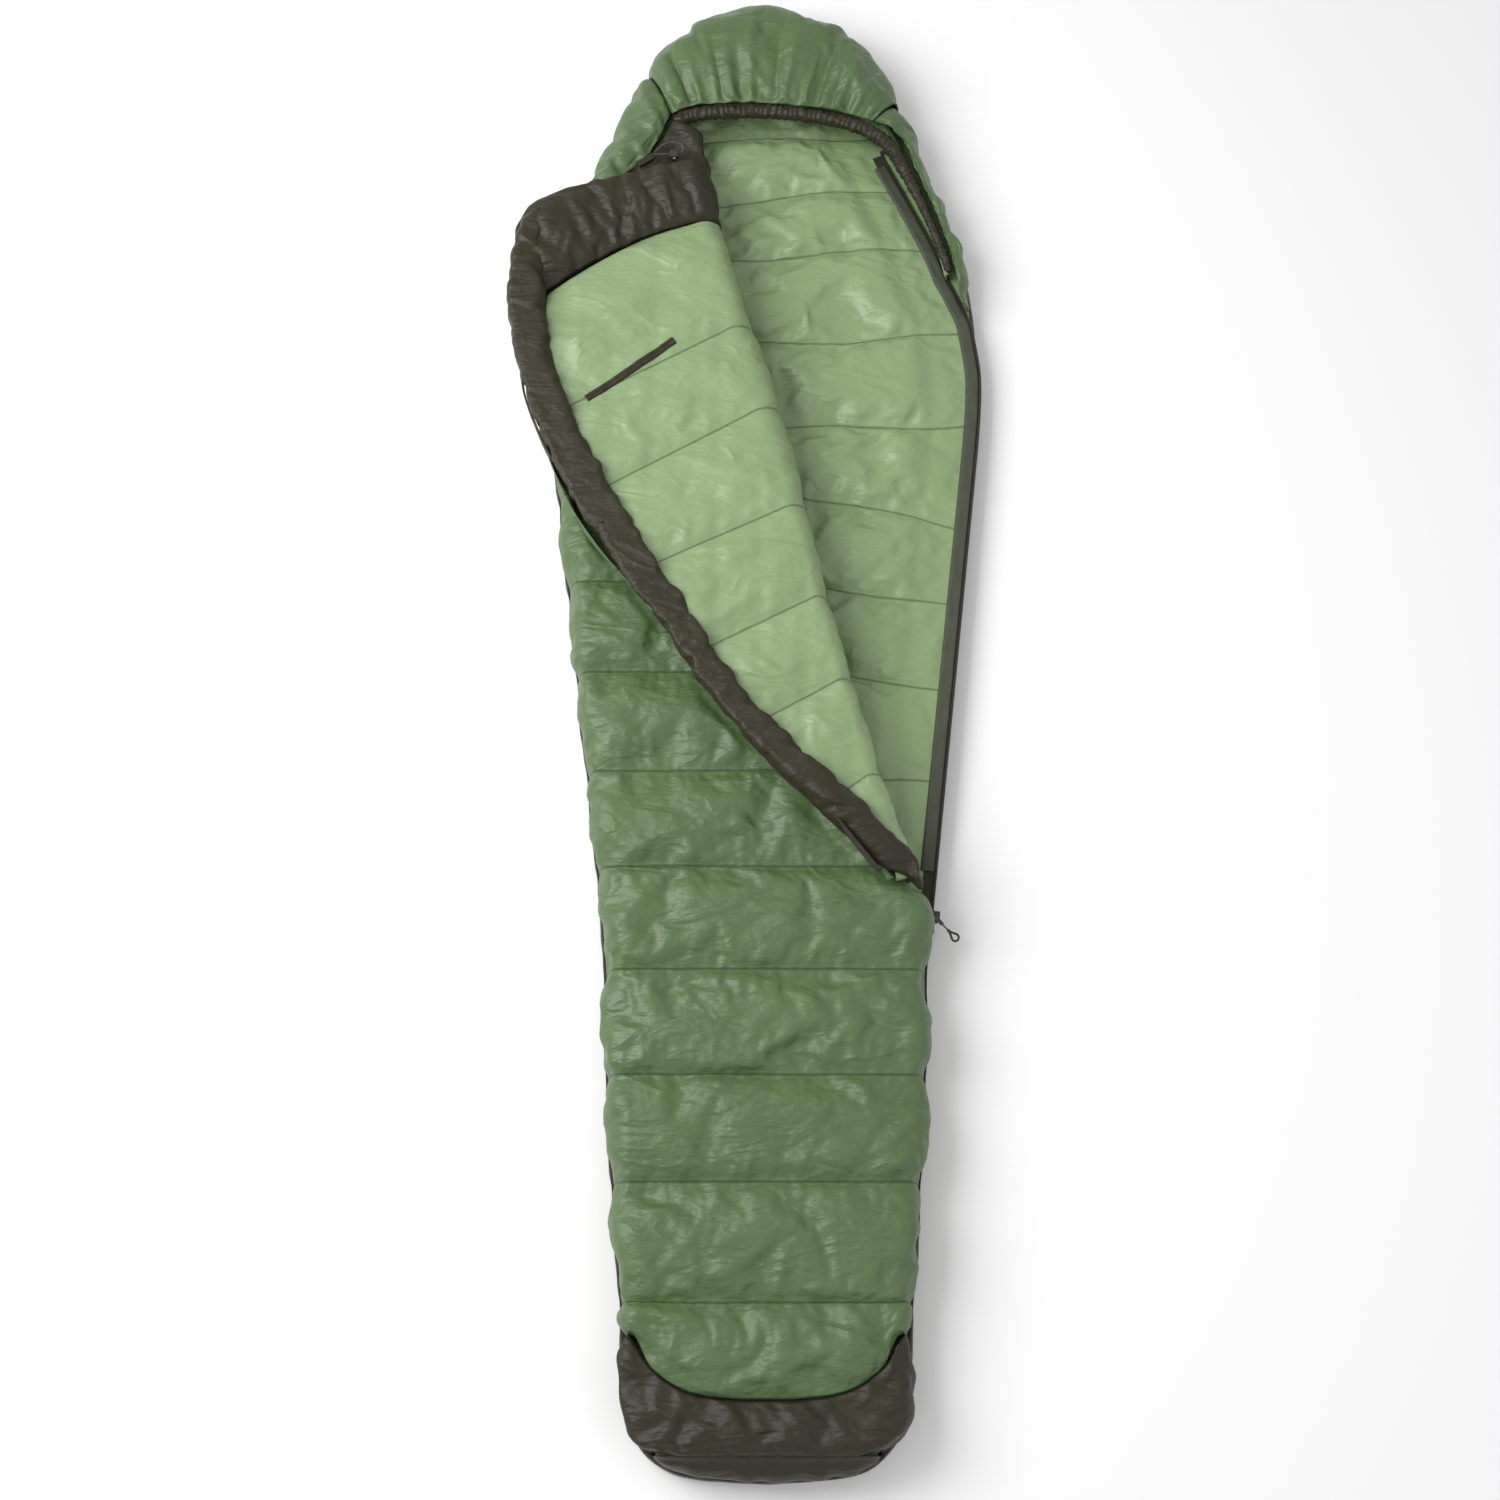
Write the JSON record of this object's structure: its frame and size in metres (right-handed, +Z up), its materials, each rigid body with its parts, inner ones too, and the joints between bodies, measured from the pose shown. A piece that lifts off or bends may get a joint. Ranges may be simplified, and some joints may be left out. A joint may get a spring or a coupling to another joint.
{
  "type": "mummy sleeping bag",
  "caption": "Hooded mummy sleeping bag lying open: base, top quilt and zip-side flap folded back over the bag, with draft tube, brown footbox, drawcord and sliding zip.",
  "frame": {"origin": "on the floor under the bag, on its centreline, half way along", "axes": "+X towards the zip side, +Y towards the hood, +Z up off the floor"},
  "size_m": [0.6572, 2.068, 0.1464],
  "materials": {
    "shell_green": "satin ripstop-style polyester shell",
    "lining_green": "glossy light sage taffeta lining",
    "dark_brown": "satin dark brown taffeta",
    "insulation": "matt polyester wadding",
    "facing_grey": "matt stiff grey-olive webbing",
    "zip_brown": "matt zip tape",
    "cord_brown": "matt braided cord",
    "coil_plastic": "satin nylon coil",
    "dark_metal": "satin dark enamel",
    "dark_plastic": "satin moulded plastic",
    "spring_steel": "bright wire"
  },
  "bodies": {
    "bag": {"top_shell": "shell_green", "hood_centre_panel": "shell_green", "hood_left_panel": "shell_green", "hood_right_panel": "shell_green", "base_lining": "lining_green", "top_lining": "lining_green", "footbox_lining": "lining_green", "hood_lining": "lining_green", "neck_collar_lining": "lining_green", "base_shell": "dark_brown", "footbox_shell": "dark_brown", "foot_end_panel": "dark_brown", "neck_collar_shell": "dark_brown", "hood_edge_channel": "dark_brown", "crown_piping": "dark_brown", "side_seam_binding": "dark_brown", "cord_anchor_tab": "dark_brown", "base_insulation": "insulation", "top_insulation": "insulation", "footbox_insulation": "insulation", "hood_insulation": "insulation", "neck_collar_insulation": "insulation", "base_zip_facing": "facing_grey", "base_zip_tape": "zip_brown", "base_zip_coil": "coil_plastic", "zip_bottom_stop": "coil_plastic", "zip_top_stop": "coil_plastic", "hood_drawcord": "cord_brown", "drawcord_loop": "cord_brown", "neck_cord": "cord_brown", "drawcord_eyelet": "dark_metal"},
    "flap": {"flap_shell": "shell_green", "flap_insulation": "insulation", "flap_lining": "lining_green", "flap_collar_shell": "dark_brown", "flap_collar_insulation": "insulation", "draft_tube_shell": "dark_brown", "draft_tube_insulation": "insulation", "flap_zip_tape": "zip_brown", "flap_zip_coil": "coil_plastic", "flap_zip_stop": "coil_plastic", "pocket_bag": "lining_green", "pocket_welt": "dark_brown"},
    "zip_slider": {"slider_body": "dark_metal"},
    "zip_pull": {"pull_tab": "dark_metal", "pull_cord": "cord_brown", "pull_loop": "dark_plastic"},
    "cord_lock": {"cord_lock_body": "dark_plastic", "cord_lock_spring": "spring_steel"},
    "cord_lock_button": {"cord_lock_button": "dark_plastic"}
  },
  "joints": [
    {"name": "flap_fold", "type": "hinge", "parent": "bag", "child": "flap", "pos_m": [0.19, -0.322, 0.091], "axis": [-0.2661, 0.964, 0], "range_deg": [0, 180]},
    {"name": "zip_slide", "type": "slide", "parent": "bag", "child": "zip_slider", "axis": [0.1194, 0.9929, 0], "range_m": [0, 0.62]},
    {"name": "pull_swing", "type": "hinge", "parent": "zip_slider", "child": "zip_pull", "pos_m": [0.21937, -0.3399, 0.04015], "axis": [-0.694, -0.72, 0], "range_deg": [0, 80]},
    {"name": "cord_lock_slide", "type": "slide", "parent": "bag", "child": "cord_lock", "axis": [-1, 0, 0], "range_m": [0, 0.018]},
    {"name": "button_press", "type": "slide", "parent": "cord_lock", "child": "cord_lock_button", "axis": [0, 1, 0], "range_m": [0, 0.003], "stiffness_N_per_m": 400, "springref_m": -0.001, "deforming": ["cord_lock_spring"]}
  ]
}
